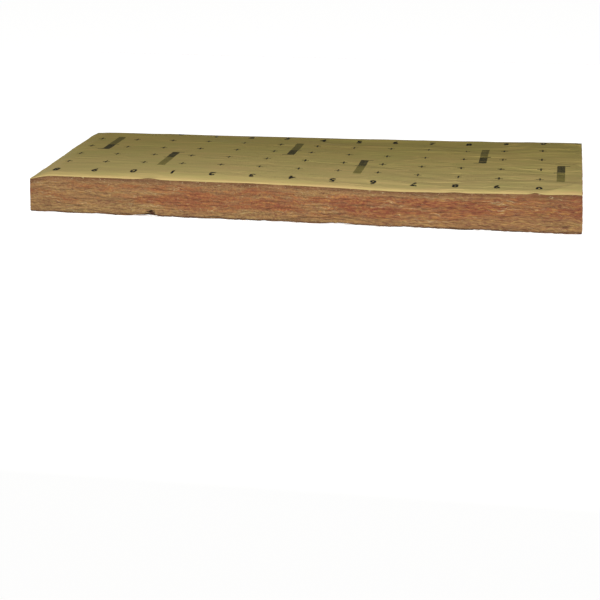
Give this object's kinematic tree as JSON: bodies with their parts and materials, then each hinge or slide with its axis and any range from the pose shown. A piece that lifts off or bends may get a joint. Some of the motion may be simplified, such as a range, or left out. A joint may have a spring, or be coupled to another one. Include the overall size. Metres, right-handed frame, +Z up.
{
  "type": "kraft-faced glass wool insulation batt",
  "caption": "Flat rectangular glass wool batt with a kraft paper facing glued to one side and rolled down over both long edges.",
  "frame": {"origin": "centre of the underside, which is the bare side of the blanket", "axes": "+X along the batt, +Y across it to the back long edge, +Z up through the paper facing"},
  "size_m": [1.35, 0.6, 0.1],
  "materials": {
    "glass_wool": "matt, fibrous, in wavy lengthwise layers",
    "kraft_paper": "slightly glossy brown paper with fine lengthwise wrinkles and printed cutting marks"
  },
  "bodies": {
    "root": {"glass_wool_blanket": "glass_wool", "kraft_facing": "kraft_paper"}
  },
  "joints": []
}
